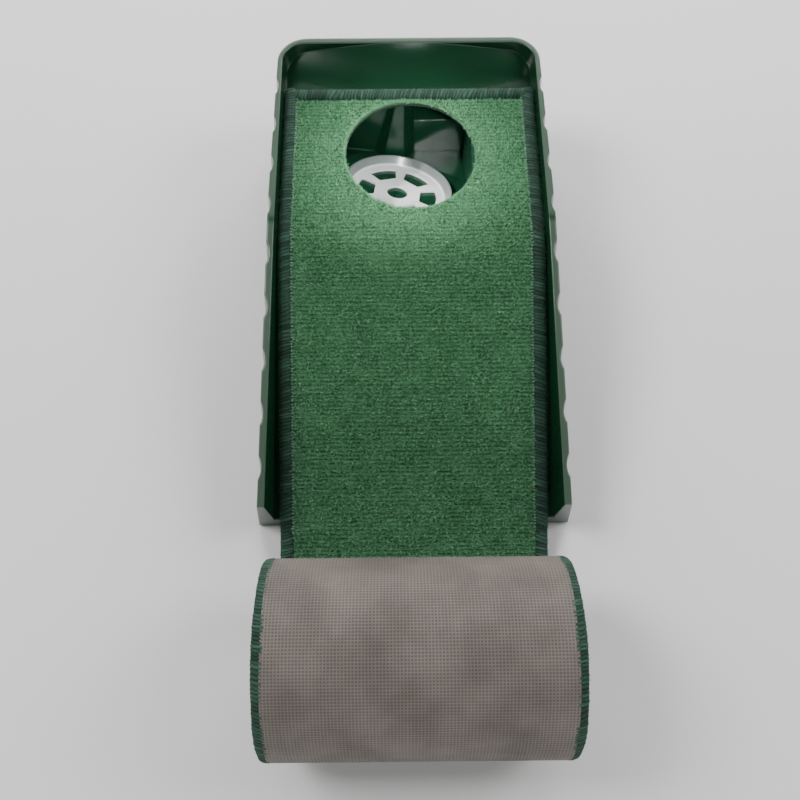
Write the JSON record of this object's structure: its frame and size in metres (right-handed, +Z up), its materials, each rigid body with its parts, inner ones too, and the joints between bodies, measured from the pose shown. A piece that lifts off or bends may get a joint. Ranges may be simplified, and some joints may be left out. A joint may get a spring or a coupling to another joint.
{
  "type": "practice putting mat",
  "caption": "Moulded putting ramp with a cut golf hole, a cup in its well, whipped turf on deck and ramp, and the rest of the turf rolled up in front.",
  "frame": {"origin": "on the floor, straight below the centre of the hole", "axes": "+Z up, +Y from the player towards the backstop, +X to the player's right"},
  "size_m": [0.251, 0.5957, 0.1403],
  "materials": {
    "green_plastic": "glossy moulded, dark green",
    "white_plastic": "glossy, slightly translucent white",
    "screw_steel": "zinc-plated",
    "pad_rubber": "matt",
    "tape": "double-sided adhesive tape",
    "turf_pile": "short dense artificial turf with stitch rows across",
    "woven_backing": "coated woven backing, brown-grey",
    "whipping_yarn": "thick overlocked yarn, dark blue-green"
  },
  "bodies": {
    "ramp_unit": {"base_shell": "green_plastic", "ball_well": "green_plastic", "well_screws": "screw_steel", "antislip_pads": "pad_rubber", "tape_strips": "tape", "mat_pile": "turf_pile", "mat_backing": "woven_backing", "mat_whipping_left": "whipping_yarn", "mat_whipping_right": "whipping_yarn", "mat_whipping_back": "whipping_yarn", "span_pile": "turf_pile", "span_backing": "woven_backing", "span_whipping_left": "whipping_yarn", "span_whipping_right": "whipping_yarn"},
    "cup": {"cup": "white_plastic"},
    "roll_contact": {"contact_pile": "turf_pile", "contact_backing": "woven_backing", "contact_whipping_left": "whipping_yarn", "contact_whipping_right": "whipping_yarn"},
    "roll": {"roll_pile": "turf_pile", "roll_backing": "woven_backing", "roll_whipping_left": "whipping_yarn", "roll_whipping_right": "whipping_yarn", "roll_whipping_end": "whipping_yarn"}
  },
  "joints": [
    {"name": "cup_lift", "type": "slide", "parent": "ramp_unit", "child": "cup", "axis": [0.1333, -0.276, 0.9519], "range_m": [0, 0.13]},
    {"name": "roll_travel", "type": "slide", "parent": "ramp_unit", "child": "roll_contact", "axis": [0, -1, 0], "range_m": [0, 0.45], "deforming": ["span_pile", "span_backing", "span_whipping_left", "span_whipping_right"]},
    {"name": "roll_spin", "type": "hinge", "parent": "roll_contact", "child": "roll", "pos_m": [0, -0.4, 0.072], "axis": [1, 0, 0], "range_deg": [0, 360]}
  ],
  "couplings": [
    {"joint": "roll_spin", "follows": "roll_travel", "rad_per_m": 13.889}
  ]
}
